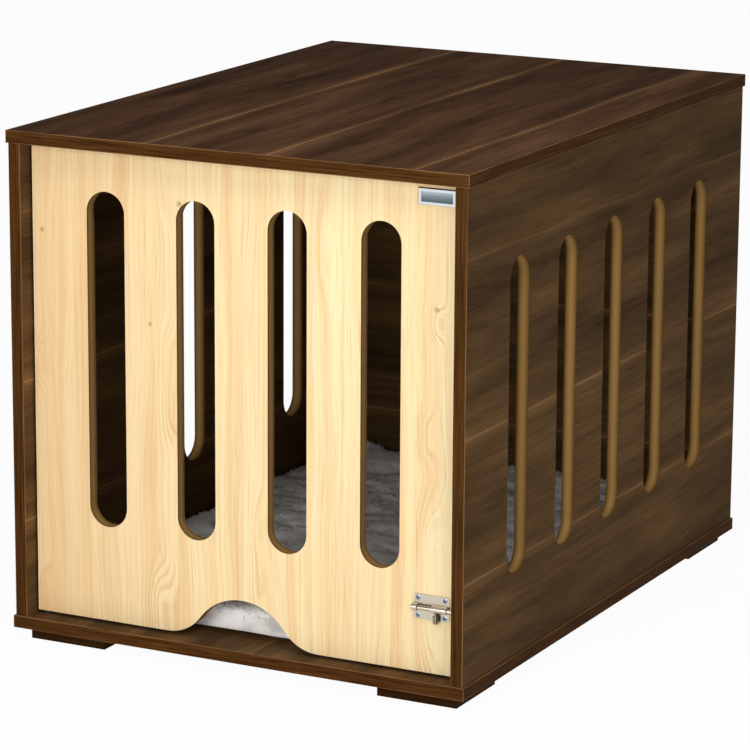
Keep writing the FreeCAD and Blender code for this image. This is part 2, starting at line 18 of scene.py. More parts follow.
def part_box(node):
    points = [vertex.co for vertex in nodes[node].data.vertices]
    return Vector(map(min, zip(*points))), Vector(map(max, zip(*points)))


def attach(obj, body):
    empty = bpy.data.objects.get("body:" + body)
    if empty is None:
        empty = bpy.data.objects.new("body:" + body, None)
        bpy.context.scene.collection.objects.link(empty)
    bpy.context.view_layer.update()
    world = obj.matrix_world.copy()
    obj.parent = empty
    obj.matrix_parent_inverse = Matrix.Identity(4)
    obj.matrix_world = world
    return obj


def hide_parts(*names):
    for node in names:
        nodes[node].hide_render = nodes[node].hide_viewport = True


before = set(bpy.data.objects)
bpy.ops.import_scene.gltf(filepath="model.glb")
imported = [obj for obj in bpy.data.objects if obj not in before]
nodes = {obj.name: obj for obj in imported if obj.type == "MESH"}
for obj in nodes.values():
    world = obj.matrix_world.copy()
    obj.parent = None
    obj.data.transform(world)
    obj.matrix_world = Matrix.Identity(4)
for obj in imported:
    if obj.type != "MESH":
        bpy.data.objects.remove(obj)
scene = bpy.context.scene
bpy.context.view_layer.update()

# %% [markdown]
# ## One helper for every node
# A shader or a Geometry Nodes tree can be drawn by hand in the editor or written in code. Code
# stays readable when one small function adds a node, sets it, links it and hands back the output
# that the next node needs. The kinds used most often get short names.

# %% Small helpers
MM = 0.001
MATH, VECTOR, MIX, RANGE = (
    "ShaderNodeMath", "ShaderNodeVectorMath", "ShaderNodeMix", "ShaderNodeMapRange",
)
RAMP, NOISE, BUMP, COORDS = (
    "ShaderNodeValToRGB", "ShaderNodeTexNoise", "ShaderNodeBump", "ShaderNodeTexCoord",
)
SPLIT, JOIN, PATH = "ShaderNodeSeparateXYZ", "ShaderNodeCombineXYZ", "ShaderNodeLightPath"


def linear(hex_colour):
    """An sRGB hex colour such as "#3d2a20" as the linear numbers that a shader wants."""
    parts = [int(hex_colour[i : i + 2], 16) / 255 for i in (1, 3, 5)]
    return (*(c / 12.92 if c <= 0.04045 else ((c + 0.055) / 1.055) ** 2.4 for c in parts), 1.0)


def add_node(tree, kind, inputs=None, out=None, stops=None, **settings):
    """Adds one node with its settings, colour stops and links; out names the output to return."""
    node = tree.nodes.new(kind)
    for key, value in settings.items():
        setattr(node, key, value)
    if stops:
        while len(node.color_ramp.elements) < len(stops):
            node.color_ramp.elements.new(0.5)
        for element, (place, shade) in zip(node.color_ramp.elements, stops):
            element.position = place
            element.color = linear(shade) if isinstance(shade, str) else (shade, shade, shade, 1)
    for key, value in (inputs or {}).items():
        if isinstance(value, bpy.types.NodeSocket):
            tree.links.new(value, node.inputs[key])
        else:
            node.inputs[key].default_value = value
    return node if out is None else node.outputs[out]


def new_material(name):
    """An empty material with its principled shader linked to its output."""
    material = bpy.data.materials.new(name)
    material.use_nodes = True
    tree = material.node_tree
    tree.nodes.clear()
    shader = add_node(tree, "ShaderNodeBsdfPrincipled")
    add_node(tree, "ShaderNodeOutputMaterial", {"Surface": shader.outputs[0]})
    return material, tree, shader


def dress(node_names, material):
    """Gives CAD nodes their material; the meshes themselves are left alone."""
    for node_name in node_names.split():
        nodes[node_name].data.materials.clear()
        nodes[node_name].data.materials.append(material)


print("helpers ready")

# %% [markdown]
# ## Camera
# The camera was solved from straight edges of the furniture, so it stands where the
# photographer's did: about 4.6 m away with a long lens, turned 27 degrees and looking down 13.5.
# The alternative, turning a camera by eye until it looks right, never gets the perspective of
# the slots and the top to agree at once.

# %% Camera
LENS_MM, SENSOR_MM = 179.74, 36
CAMERA_AT = Vector((2010.8, -3975.2, 1340.8)) * MM
TURN, DOWN, ROLL = (math.radians(v) for v in (27.087, 13.509, 0.336))

back = Vector((math.sin(TURN) * math.cos(DOWN), -math.cos(TURN) * math.cos(DOWN), math.sin(DOWN)))
level = Vector((math.cos(TURN), math.sin(TURN), 0))
rise = level.cross(-back)
right = math.cos(ROLL) * level + math.sin(ROLL) * rise
above = -math.sin(ROLL) * level + math.cos(ROLL) * rise
camera = bpy.data.objects.new("camera", bpy.data.cameras.new("camera"))
scene.collection.objects.link(camera)
camera.data.lens = LENS_MM
camera.data.sensor_width = SENSOR_MM
camera.matrix_world = Matrix((right, above, back)).transposed().to_4x4()
camera.matrix_world.translation = CAMERA_AT
scene.camera = camera
print("camera at", [round(v, 3) for v in CAMERA_AT])

# %% [markdown]
# ## Light and ground
# A product photograph is lit by large soft boxes in a dim room, on a ground that is burnt out to
# white. Here a dim grey world fills the shadows, and three soft lamps stand at the front, at the
# right and above the front edge, near enough that the light falls off towards the back. The
# white of the ground is only what the camera sees. The world turns white for camera and
# see-through rays, and the floor for mirror rays too. For the light that reaches the object the
# world stays dim, and the floor stays an off-white paper that lifts the low parts of the sides.

# %% World and lamps
scene.view_settings.view_transform = "Standard"
HORIZON, ZENITH = 0.12, 0.28  # the room's brightness at the horizon and overhead
world = bpy.data.worlds.new("studio")
world.use_nodes = True
scene.world = world
tree = world.node_tree
tree.nodes.clear()
path = add_node(tree, PATH)
seen = {0: path.outputs["Is Camera Ray"], 1: path.outputs["Is Transmission Ray"]}
seen = add_node(tree, MATH, seen, 0, operation="MAXIMUM")
up = add_node(tree, SPLIT, {0: add_node(tree, COORDS, out="Generated")}, "Z")
room = add_node(tree, RANGE, {0: up, 3: HORIZON, 4: ZENITH}, 0)
strength = add_node(tree, MIX, {0: seen, 2: room, 3: 1.0}, 0)
sky = add_node(tree, "ShaderNodeBackground", {"Color": (1, 1, 1, 1), "Strength": strength}, 0)
add_node(tree, "ShaderNodeOutputWorld", {"Surface": sky})

LAMPS = {  # where it stands, what it looks at, its side in metres, its watts
    "front_lamp": ((-0.2, -2.85, 0.95), (0, -0.3, 0.3), 1.5, 35.5),
    "side_lamp": ((2.05, -1.75, 0.7), (0.3, -0.1, 0.25), 1.2, 13),
    "top_lamp": ((0.5, -0.95, 1.8), (0.0, -0.25, 0.6), 0.8, 11),
}
for name, (at, aim, side, watts) in LAMPS.items():
    data = bpy.data.lights.new(name, "AREA")
    data.shape, data.size, data.energy = "SQUARE", side, watts
    lamp = bpy.data.objects.new(name, data)
    scene.collection.objects.link(lamp)
    lamp.location = at
    lamp.rotation_euler = (Vector(at) - Vector(aim)).to_track_quat("Z", "Y").to_euler()
print("lamps:", list(LAMPS))

# %% Ground
FLOOR_RADIUS, FLOOR_DROP_MM = 30.0, 0.2
GROUND_PAPER, SHADOW_SHARE = "#f6f6f6", 0.04
PAPER_ROUGHNESS = 0.9
floor = bpy.data.objects.new("studio_floor", bpy.data.meshes.new("studio_floor"))
bm = bmesh.new()
bmesh.ops.create_circle(bm, cap_ends=True, segments=64, radius=FLOOR_RADIUS)
bmesh.ops.translate(bm, verts=bm.verts, vec=(0, 0, -FLOOR_DROP_MM * MM))
bm.to_mesh(floor.data)
bm.free()
scene.collection.objects.link(floor)

paper, tree, shader = new_material("white_paper_ground")
shader.inputs["Roughness"].default_value = PAPER_ROUGHNESS
path = add_node(tree, PATH)
seen = {0: path.outputs["Is Camera Ray"], 1: path.outputs["Is Glossy Ray"]}
seen = add_node(tree, MATH, seen, 0, operation="MAXIMUM")
seen = {0: seen, 1: path.outputs["Is Transmission Ray"]}
seen = add_node(tree, MATH, seen, 0, operation="MAXIMUM")
white, off_white = (1, 1, 1, 1), linear(GROUND_PAPER)
tone = add_node(tree, MIX, {0: seen, 6: off_white, 7: white}, 2, data_type="RGBA")
tree.links.new(tone, shader.inputs["Base Color"])
glow = add_node(tree, "ShaderNodeEmission", {"Color": white, "Strength": 1.0}, 0)
share = add_node(tree, MATH, {0: seen, 1: 1 - SHADOW_SHARE}, 0, operation="MULTIPLY")
both = add_node(tree, "ShaderNodeMixShader", {0: share, 1: shader.outputs[0], 2: glow}, 0)
tree.links.new(both, tree.nodes["Material Output"].inputs["Surface"])
floor.data.materials.append(paper)
print("ground:", round(2 * FLOOR_RADIUS), "m across")

# %% [markdown]
# ## Walnut-look laminate
# The boards carry a printed decor paper under a satin melamine skin. The print shows walnut
# planks side by side: each has its own tone, soft clouds a hand long, dark streaks and hair
# fine pores, and a thin sappy line where two planks meet. An image would be the usual way. Noise
# stretched along the grain does it here with no image, and it fits any board: long noise for the
# clouds, shorter and narrower noise for streaks and pores. The planks are steps across the grain
# at measured places. A cut through the board shows raw fibreboard between the two papers.

# %% Grain helpers


def board_axes(tree, along, across):
    """Object coordinates in mm as three outputs: along the grain, across it, and depth."""
    metres = add_node(tree, COORDS, out="Object")
    in_mm = add_node(tree, VECTOR, {0: metres, "Scale": 1 / MM}, 0, operation="SCALE")
    split = add_node(tree, SPLIT, {0: in_mm})
    depth = ({"X", "Y", "Z"} - {along, across}).pop()
    return split.outputs[along], split.outputs[across], split.outputs[depth]


def grain(tree, place, length_mm, width_mm, seed, detail=3.0, rough=0.55, curl=0.0):
    """Noise about length_mm by width_mm, on a place whose X runs along the grain."""
    stretch = (1 / length_mm, 1 / width_mm, 1.0)
    inputs = {0: place, 1: stretch, 2: (seed, seed, seed)}
    scaled = add_node(tree, VECTOR, inputs, 0, operation="MULTIPLY_ADD")
    inputs = {"Vector": scaled, "Detail": detail, "Roughness": rough, "Distortion": curl}
    return add_node(tree, NOISE, {"Scale": 1.0, **inputs}, 0)


def bend(tree, u, v, length_mm, width_mm, seed, reach_mm):
    """The place across the grain, pushed sideways by slow noise so that no line runs dead straight."""
    flat = add_node(tree, JOIN, {0: u, 1: v}, 0)
    sway = grain(tree, flat, length_mm, width_mm, seed, 1.0)
    return add_node(tree, MATH, {0: sway, 1: reach_mm, 2: v}, 0, operation="MULTIPLY_ADD")


def stain(tree, share, under, over):
    """Colour over is laid on colour under by share, as ink on paper."""
    return add_node(tree, MIX, {0: share, 6: under, 7: over}, 2, data_type="RGBA")


print("grain helpers ready")

# %% [markdown]
# ## Raw fibreboard
# Medium density fibreboard is ground wood pressed with resin: its faces are denser and browner
# than its middle, and a routed slot shows that as a pale band between two darker ones, with a
# fine fleck. That darkening towards the faces is drawn stronger than the density gives, partly
# painted shade as on a rounded wall. A distance from the board's middle plane is enough to find
# both the band and the skins, so one material can hold the print and the core. Real fibre flecks
# are about 0.2 mm, too fine for the render, so they are drawn 0.9 mm wide. The door's core is
# drawn darker than the side panels', as the photograph shows it: painted shade, as the walls of
# its slots stand in shade.

# %% Fibreboard core
SKIN_MM, FLECK_MM = 0.2, 0.9
# The layers run from the board's middle to its faces; their darkening towards the faces is partly
# painted shade, and the door's core is drawn darker still as painted shade.
SIDE_CORE = [(0.0, "#bd965a"), (0.45, "#ab854d"), (0.8, "#836033"), (1.0, "#5c401f")]
DOOR_CORE_SHADED = [(0.0, "#a07c48"), (0.45, "#93703e"), (0.85, "#745630"), (1.0, "#5d4322")]
CORE_ROUGHNESS = 0.88


def show_core(tree, depth, faces, layers, wood, rough):
    """The print on the skins at faces, in mm, and fibreboard wherever a point lies between them."""
    middle, half = (faces[0] + faces[1]) / 2, (faces[1] - faces[0]) / 2
    off = add_node(tree, MATH, {0: depth, 1: middle}, 0, operation="SUBTRACT")
    off = add_node(tree, MATH, {0: off}, 0, operation="ABSOLUTE")
    inside = add_node(tree, MATH, {0: off, 1: half - SKIN_MM}, 0, operation="LESS_THAN")
    deep = add_node(tree, MATH, {0: off, 1: half}, 0, operation="DIVIDE")
    metres = add_node(tree, COORDS, out="Object")
    fleck = {"Vector": metres, "Scale": 1 / (FLECK_MM * MM), "Detail": 2.0, "Roughness": 0.7}
    fleck = add_node(tree, NOISE, fleck, 0)
    # Paler in the middle and darker towards both faces, partly painted shade.
    layer = add_node(tree, RAMP, {0: deep}, 0, stops=layers)
    shade = add_node(tree, RAMP, {0: fleck}, 0, stops=[(0.3, 0.84), (0.7, 1.0)])
    core = {0: 1.0, 6: layer, 7: shade}
    core = add_node(tree, MIX, core, 2, data_type="RGBA", blend_type="MULTIPLY")
    dull = add_node(tree, MIX, {0: inside, 2: rough, 3: CORE_ROUGHNESS}, 0)
    return stain(tree, inside, wood, core), dull


print("fibreboard core ready")

# %% Walnut print
LINE_MM, GLOW_MM = 2.0, 12.0  # half of the pale line between planks, and how far its glow reaches
MELAMINE_GLOSS = 0.01  # the photograph shows no reflection in the boards, so far below 0.5
PLANK_STEP, TONE_SHARE = 37.0, 0.10  # how far apart planks lie in the noise, and their tone's pull
SWAY_MM, SWAY_REACH_MM = (620, 150), 30
CLOUD_MM, STREAK_MM, HEART_MM = (340, 46), (200, 6.0), (130, 22)
PORE_MM = (55, 1.4)  # real pores are 0.1 mm wide and would vanish, so they are drawn this coarse
FADE_MM = 260  # over what length a joint's pale line comes and goes
# One walnut print, drawn in two sets of colours: the top's darker and redder, the sides' lighter and
# more olive, painted light and shade for how the light falls on each. The base and the back take the
# sides' colours.
WALNUT_AS_LIT_ON_TOP = ["#352317", "#523826", "#593e2a", "#6f4f37"]
WALNUT_AS_LIT_ON_SIDES = ["#422f1b", "#594229", "#61482c", "#775a38"]
HEARTWOOD, SAPWOOD = "#251910", "#b98b5b"


def planks(tree, across, joints, tones):
    """Each plank's own grey level, and how strongly a joint's pale line shows, from 0 to 1."""
    tone, line = tones[0], 0.0
    half = LINE_MM / GLOW_MM
    pulse = [(0.0, 1.0), (0.4 * half, 0.85), (1.0 * half, 0.3), (1.0, 0.0)]
    for (joint, strength), left, right in zip(joints, tones, tones[1:]):
        past = add_node(tree, MATH, {0: across, 1: joint}, 0, operation="GREATER_THAN")
        step = {0: past, 1: right - left, 2: tone}
        tone = add_node(tree, MATH, step, 0, operation="MULTIPLY_ADD")
        off = add_node(tree, MATH, {0: across, 1: joint}, 0, operation="SUBTRACT")
        off = add_node(tree, MATH, {0: off}, 0, operation="ABSOLUTE")
        off = add_node(tree, MATH, {0: off, 1: GLOW_MM}, 0, operation="DIVIDE")
        shown = {0: add_node(tree, RAMP, {0: off}, 0, pulse), 1: strength}
        shown = add_node(tree, MATH, shown, 0, operation="MULTIPLY")
        line = add_node(tree, MATH, {0: line, 1: shown}, 0, operation="MAXIMUM")
    return tone, line


def walnut(name, along, across, joints, tones, shades, contrast, faces=None):
    """Walnut print; contrast is how much heartwood shows, faces are where its skins lie, in mm."""
    material, tree, shader = new_material(name)
    u, v, depth = board_axes(tree, along, across)
    tone, line = planks(tree, v, joints, tones)
    plank = add_node(tree, MATH, {0: tone, 1: PLANK_STEP}, 0, operation="MULTIPLY")
    bent = bend(tree, u, v, *SWAY_MM, 2.0, SWAY_REACH_MM)
    place = add_node(tree, JOIN, {0: u, 1: bent, 2: plank}, 0)
    cloud = grain(tree, place, *CLOUD_MM, 0.0, 3.0, 0.5, 0.2)
    streak = grain(tree, place, *STREAK_MM, 5.0, 3.0, 0.6)
    pore = grain(tree, place, *PORE_MM, 9.0, 2.0, 0.6)
    heart = grain(tree, place, *HEART_MM, 14.0, 4.0, 0.6, 0.5)
    figure = add_node(tree, MIX, {0: 0.26, 2: cloud, 3: streak}, 0)
    figure = add_node(tree, MIX, {0: 0.22, 2: figure, 3: pore}, 0)
    figure = add_node(tree, MATH, {0: tone, 1: TONE_SHARE, 2: figure}, 0, operation="MULTIPLY_ADD")
    stops = list(zip((0.39, 0.52, 0.58, 0.69), shades))
    wood = add_node(tree, RAMP, {0: figure}, 0, stops)
    dark = add_node(tree, RAMP, {0: heart}, 0, [(0.54, 0.0), (0.72, contrast)])
    wood = stain(tree, dark, wood, linear(HEARTWOOD))
    flat = add_node(tree, JOIN, {0: u, 2: plank}, 0)
    strong = {0: grain(tree, flat, FADE_MM, 1, 3.0, 1.0), 1: 0.4, 2: 0.6, 3: 0.15, 4: 0.85}
    strong = add_node(tree, RANGE, strong, 0)
    sap = add_node(tree, MATH, {0: line, 1: strong}, 0, operation="MULTIPLY")
    wood = stain(tree, sap, wood, linear(SAPWOOD))
    rough = add_node(tree, RANGE, {0: pore, 1: 0.3, 2: 0.6, 3: 0.62, 4: 0.52}, 0)
    if faces:
        wood, rough = show_core(tree, depth, faces, SIDE_CORE, wood, rough)
    tree.links.new(wood, shader.inputs["Base Color"])
    tree.links.new(rough, shader.inputs["Roughness"])
    shader.inputs["Specular IOR Level"].default_value = MELAMINE_GLOSS
    relief = {"Strength": 0.1, "Distance": 0.2 * MM, "Height": pore}
    tree.links.new(add_node(tree, BUMP, relief, 0), shader.inputs["Normal"])
    return material


# Each joint is its place across the grain in mm and how strongly its pale line shows. The tones
# are those of the planks between the joints.
TOP_JOINTS = [(-112, 0.9), (45, 0.9), (230, 0.9)]
BASE_JOINTS = [(-140, 0.25), (25, 0.3), (190, 0.25)]
SIDE_JOINTS = [(147, 0.55), (314, 0.7), (514, 0.22)]
BACK_JOINTS = [(120, 0.6), (290, 0.6), (470, 0.6)]
TONES = [0.3, 0.6, 0.45, 0.7]
SIDE_TONES = [0.6, 0.8, 0.4, 0.25]
dress("top_board", walnut("walnut_print_top", "Y", "X", TOP_JOINTS, TONES, WALNUT_AS_LIT_ON_TOP, 0.5))
dress("base_board", walnut("walnut_print_base", "Y", "X", BASE_JOINTS, TONES, WALNUT_AS_LIT_ON_SIDES, 0.4))
dress("back_panel", walnut("walnut_print_back", "X", "Z", BACK_JOINTS, TONES, WALNUT_AS_LIT_ON_SIDES, 0.4))
for side, faces in (("left", (-292.5, -277.5)), ("right", (277.5, 292.5))):
    look = (SIDE_JOINTS, SIDE_TONES, WALNUT_AS_LIT_ON_SIDES, 0.25, faces)
    dress(side + "_side_panel", walnut("walnut_print_" + side, "Y", "Z", *look))
print("walnut boards dressed")

# %% [markdown]
# ## Edge strips and feet
# A 1 mm plastic strip with a printed grain is glued along each cut edge and scraped flush. A
# paler hair line is painted along the arrises, a painted highlight where light catches the edge,
# which outlines every board. It could be a separate thin mesh, but the strip's own material can
# find it: a strip is only 1 mm thick, so a point within 0.7 mm of the level of the board's face,
# or of both end faces at a corner, lies on an arris. The grain runs along the edge, so a strip
# that lies flat and one that stands upright stretch their noise differently. Its lines are drawn
# 1.5 mm wide, coarser than the 0.3 mm of a real print, which would not show.

# %% Strips
ARRIS_MM, STRIP_GRAIN_MM = 0.7, 1.5
STRIP_GLOSS, STRIP_ROUGHNESS = 0.01, 0.5
WALNUT_STRIP = [(0.35, "#382009"), (0.6, "#513317"), (0.75, "#64411e")]
# Painted shade: the feet take darker colours than the edge strips, as they stand in shade.
FOOT_STRIP_SHADED = [(0.35, "#2c1909"), (0.6, "#3b2410"), (0.75, "#482f16")]
# The paler colour drawn along the arrises is a painted highlight.
ARRIS_HIGHLIGHT_WALNUT = "#8d6a45"


def strip(name, run_mm, stops, arris_highlight, levels=(), corner=None):
    """Printed strip; levels are (axis, mm) of its arrises and corner is where two strips meet."""
    material, tree, shader = new_material(name)
    x, y, z = board_axes(tree, "X", "Y")
    places = {"X": x, "Y": y, "Z": z}
    place = add_node(tree, JOIN, {0: x, 1: y, 2: z}, 0)
    squeeze = tuple(1 / length for length in run_mm)
    place = add_node(tree, VECTOR, {0: place, 1: squeeze}, 0, operation="MULTIPLY")
    lines = {"Vector": place, "Scale": 1.0, "Detail": 3.0, "Roughness": 0.6, "Distortion": 0.2}
    lines = add_node(tree, NOISE, lines, 0)
    colour = add_node(tree, RAMP, {0: lines}, 0, stops)
    edge = 0.0
    for axis, level in levels:
        hit = {0: places[axis], 1: level, 2: ARRIS_MM}
        hit = add_node(tree, MATH, hit, 0, operation="COMPARE")
        edge = add_node(tree, MATH, {0: edge, 1: hit}, 0, operation="MAXIMUM")
    if corner:
        hits = []
        for axis, level in zip("XY", corner):
            size = add_node(tree, MATH, {0: places[axis]}, 0, operation="ABSOLUTE")
            hit = {0: size, 1: level, 2: ARRIS_MM}
            hits.append(add_node(tree, MATH, hit, 0, operation="COMPARE"))
        both = add_node(tree, MATH, {0: hits[0], 1: hits[1]}, 0, operation="MULTIPLY")
        edge = add_node(tree, MATH, {0: edge, 1: both}, 0, operation="MAXIMUM")
    # Painted highlight: the arris line, broken up by the strip's grain.
    highlight_strength = add_node(tree, RANGE, {0: lines, 1: 0.3, 2: 0.6, 3: 0.35, 4: 0.8}, 0)
    painted_highlight = add_node(tree, MATH, {0: edge, 1: highlight_strength}, 0, operation="MULTIPLY")
    tree.links.new(stain(tree, painted_highlight, colour, linear(arris_highlight)), shader.inputs["Base Color"])
    shader.inputs["Roughness"].default_value = STRIP_ROUGHNESS
    shader.inputs["Specular IOR Level"].default_value = STRIP_GLOSS
    relief = {"Strength": 0.1, "Distance": 0.1 * MM, "Height": lines}
    tree.links.new(add_node(tree, BUMP, relief, 0), shader.inputs["Normal"])
    return material


FLAT_RUN, UPRIGHT_RUN = (70, 70, STRIP_GRAIN_MM), (STRIP_GRAIN_MM, STRIP_GRAIN_MM, 90)
BOARD_CORNER = (295.0, 400.0)
for board, levels in (("top", (("Z", 610), ("Z", 595))), ("base", (("Z", 30), ("Z", 15)))):
    look = (FLAT_RUN, WALNUT_STRIP, ARRIS_HIGHLIGHT_WALNUT, levels, BOARD_CORNER)
    dress(board + "_edge_bands", strip("walnut_strip_" + board, *look))
for side, sign in (("left", -1), ("right", 1)):
    levels = (("X", sign * 292.5), ("X", sign * 277.5))
    upright = strip("walnut_strip_" + side, UPRIGHT_RUN, WALNUT_STRIP, ARRIS_HIGHLIGHT_WALNUT, levels)
    dress(side + "_panel_edge_bands", upright)
foot_print = strip("walnut_print_feet", FLAT_RUN, FOOT_STRIP_SHADED, ARRIS_HIGHLIGHT_WALNUT)
dress("front_left_foot front_right_foot back_left_foot back_right_foot", foot_print)
dress("door_stop", strip("walnut_print_stop", UPRIGHT_RUN, WALNUT_STRIP, ARRIS_HIGHLIGHT_WALNUT))
print("strips and feet dressed")

# %% [markdown]
# ## Maple-look door
# The door's print is a pale maple: cream, with soft pinkish tan bands running up the board, hair
# fine brown lines, a few pin knots, and arches where the saw cut through a hump in the growth
# rings. Painting arches one by one looks stuck on. Real rings are the level lines of one height
# field, so here they are drawn the same way: the place across the board, bent by noise, plus a
# smooth hump for each arch. Level lines then run straight, part around a hump and close over it.
# The hinge side of the sheet is drawn a deeper tan than the rest: painted shade, where less
# light falls. Real hair lines are 0.2 mm wide, too fine to show, so they are drawn 1.6 mm wide
# and faint.

# %% Maple print
DOOR_FACES_MM = (-377.5, -362.5)
RING_MM = 7.5
HUMPS = (  # x of the ridge, its top, its foot, half width, rings in it, how fast it closes, mm
    (-106, 132, -40, 17, 3.6, 70),
    (-94, 604, 545, 9, 2.2, 40),
    (-92, 420, 300, 13, 2.4, 60),
    (-268, 385, 330, 13, 2.6, 45),
    (-268, 112, 30, 11, 2.6, 50),
    (234, 356, 300, 13, 2.0, 45),
    (240, 282, 90, 19, 4.2, 110),
    (247, 470, 434, 11, 2.4, 30),
    (104, 600, 500, 10, 1.8, 80),
    (20, 250, 110, 11, 2.0, 90),
)
KNOTS = (  # x, z and radius in mm
    (-261.7, 493.5, 2.2), (-118.3, 396.7, 2.0), (-79.0, 539.8, 2.6), (246.6, 451.9, 2.4),
)
BAND_MM, LINES_MM, HAIR_MM, PATCH_MM = (900, 21), (420, 3.0), (95, 1.6), (260, 34)
# The hinge side's deeper tan is painted shade, the late wood's colour laid over the print.
HINGE_SHADE_FROM_MM, HINGE_SHADE_TO_MM = -285, -40  # where the hinge side's tan begins and where it has gone
MAPLE = [(0.32, "#f9e6b6"), (0.47, "#f5ddac"), (0.57, "#f1d3a0"), (0.70, "#ebc592")]
HINGE_SHADE_SHARE = 0.4  # how much of the late wood's tan lies over the print at the hinge side
LATE_WOOD, HAIR_BROWN, KNOT_BROWN = "#d6a877", "#b98d5e", "#94622f"


def hump(tree, u, v, x, top, foot, half_wide, rings, close):
    """A ridge along the grain that rises smoothly out of the ring field and sinks again."""
    off = add_node(tree, MATH, {0: v, 1: x}, 0, operation="SUBTRACT")
    off = add_node(tree, MATH, {0: off, 1: half_wide}, 0, operation="DIVIDE")
    square = add_node(tree, MATH, {0: off, 1: off}, 0, operation="MULTIPLY")
    bell = add_node(tree, MATH, {0: math.exp(-1), 1: square}, 0, operation="POWER")
    smooth = {"interpolation_type": "SMOOTHSTEP"}
    lower = add_node(tree, RANGE, {0: u, 1: foot - close, 2: foot, 4: rings}, 0, **smooth)
    upper = add_node(tree, RANGE, {0: u, 1: top - close, 2: top, 3: 1.0, 4: 0.0}, 0, **smooth)
    ridge = add_node(tree, MATH, {0: lower, 1: upper}, 0, operation="MULTIPLY")
    return add_node(tree, MATH, {0: bell, 1: ridge}, 0, operation="MULTIPLY")


def maple(name):
    """The door's print, with its rings, bands, hairs and knots, and the raw core in its slots."""
    material, tree, shader = new_material(name)
    u, v, depth = board_axes(tree, "Z", "X")
    bent = bend(tree, u, v, 380, 60, 1.3, 34)
    bent = bend(tree, u, bent, 130, 26, 6.3, 7)
    field = add_node(tree, MATH, {0: bent, 1: RING_MM}, 0, operation="DIVIDE")
    humps = 0.0
    for shape in HUMPS:
        humps = add_node(tree, MATH, {0: humps, 1: hump(tree, u, v, *shape)}, 0, operation="ADD")
    field = add_node(tree, MATH, {0: field, 1: humps}, 0, operation="ADD")
    place = add_node(tree, JOIN, {0: u, 1: bent, 2: 0.0}, 0)
    ringed = add_node(tree, MATH, {0: field, 1: RING_MM}, 0, operation="MULTIPLY")
    ringed = add_node(tree, JOIN, {0: u, 1: ringed, 2: 0.0}, 0)
    broad = grain(tree, ringed, *BAND_MM, 4.1, 3.0, 0.55)
    fine = grain(tree, ringed, *LINES_MM, 7.7, 3.0, 0.6)
    hair = grain(tree, place, *HAIR_MM, 9.2, 2.0, 0.6)
    patch = grain(tree, place, *PATCH_MM, 12.4, 2.0, 0.5)
    wood = add_node(tree, RAMP, {0: broad}, 0, MAPLE)
    # Painted shade: the hinge side is darkened with the late wood's tan, fading towards the middle.
    deep = {0: v, 1: HINGE_SHADE_FROM_MM, 2: HINGE_SHADE_TO_MM, 3: HINGE_SHADE_SHARE, 4: 0.0}
    deep = add_node(tree, RANGE, deep, 0)
    wood = stain(tree, deep, wood, linear(LATE_WOOD))
    ring = add_node(tree, MATH, {0: field}, 0, operation="FRACT")
    ring = add_node(tree, RAMP, {0: ring}, 0, [(0.0, 0.0), (0.45, 0.1), (0.88, 1.0), (1.0, 0.0)])
    near = add_node(tree, RANGE, {0: humps, 1: 0.15, 2: 1.2, 3: 0.14, 4: 0.72}, 0)
    some = add_node(tree, RANGE, {0: patch, 1: 0.42, 2: 0.6, 3: 0.15, 4: 1.0}, 0)
    strength = add_node(tree, MATH, {0: near, 1: some}, 0, operation="MULTIPLY")
    ring = add_node(tree, MATH, {0: ring, 1: strength}, 0, operation="MULTIPLY")
    wood = stain(tree, ring, wood, linear(LATE_WOOD))
    lines = add_node(tree, RANGE, {0: fine, 1: 0.48, 2: 0.72, 4: 0.34}, 0)
    wood = stain(tree, lines, wood, linear(LATE_WOOD))
    hairs = add_node(tree, RANGE, {0: hair, 1: 0.56, 2: 0.74, 4: 0.36}, 0)
    wood = stain(tree, hairs, wood, linear(HAIR_BROWN))
    spot = add_node(tree, JOIN, {0: v, 1: u, 2: 0.0}, 0)
    for x, z, radius in KNOTS:
        away = {0: spot, 1: (x, z, 0)}
        away = add_node(tree, VECTOR, away, "Value", operation="DISTANCE")
        mark = {0: away, 1: 0.4 * radius, 2: 1.7 * radius, 3: 0.6, 4: 0.0}
        wood = stain(tree, add_node(tree, RANGE, mark, 0), wood, linear(KNOT_BROWN))
    rough = add_node(tree, RANGE, {0: fine, 1: 0.3, 2: 0.7, 3: 0.5, 4: 0.42}, 0)
    wood, rough = show_core(tree, depth, DOOR_FACES_MM, DOOR_CORE_SHADED, wood, rough)
    tree.links.new(wood, shader.inputs["Base Color"])
    tree.links.new(rough, shader.inputs["Roughness"])
    shader.inputs["Specular IOR Level"].default_value = MELAMINE_GLOSS
    return material


MAPLE_STRIP = [(0.35, "#dcb679"), (0.6, "#e8c78f"), (0.75, "#f0d4a0")]
dress("door_panel", maple("maple_print_door"))
# The door's front arris carries a painted highlight in pale cream.
door_strip = strip("maple_strip_door", UPRIGHT_RUN, MAPLE_STRIP, "#f6e2b8", (("Y", -377.5),))
dress("door_edge_bands", door_strip)
print("door dressed, with", len(HUMPS), "arches")

# %% [markdown]
# ## Metal
# The bolt is pressed steel with nickel plate, its screws are zinc plated, the cam locks are raw
# zinc castings. A plated part is a full metal, so its look is its roughness: a polished rod is
# nearly a mirror, a pressed plate is satin. The colour is darkened where the surface is shut in,
# in rolled corners and the gaps under the rod: painted shade, which also gives so small a thing
# its contrast. The surface grain of real plate is below 0.1 mm; it is drawn about 1 mm.

# %% Metals
CREVICE_MM = 3.0


